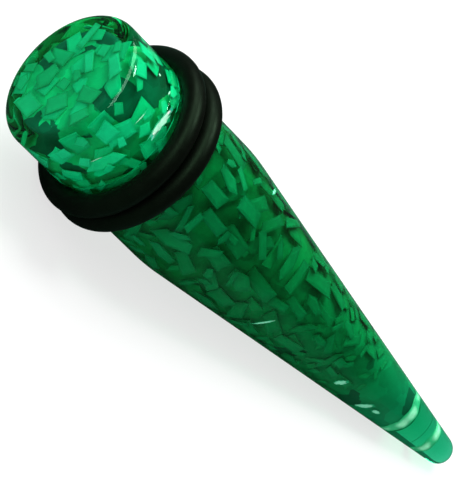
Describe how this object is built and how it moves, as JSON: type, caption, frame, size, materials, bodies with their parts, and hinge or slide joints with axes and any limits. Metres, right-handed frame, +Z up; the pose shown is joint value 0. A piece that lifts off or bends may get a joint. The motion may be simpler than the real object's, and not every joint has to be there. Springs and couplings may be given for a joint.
{
  "type": "ear stretching taper",
  "caption": "Clear green acrylic ear taper with chips cast in: flat end, straight shank, long cone to a rounded tip, and black rubber rings that stop it at the lobe.",
  "frame": {"origin": "middle of the taper's bounding box, on the surface that it lies on", "axes": "+X from the flat end towards the tip, +Z up, the taper's own axis tipping down towards the tip in the XZ plane"},
  "size_m": [0.0652, 0.0176, 0.0178],
  "materials": {
    "acrylic": "clear deep green cast acrylic, polished",
    "chips": "flat opaque emerald chips with a slight pearl",
    "rubber": "black rubber, soft sheen"
  },
  "bodies": {
    "root": {"taper_body": "acrylic", "ring_head_side": "rubber", "ring_tip_side": "rubber"}
  },
  "joints": []
}
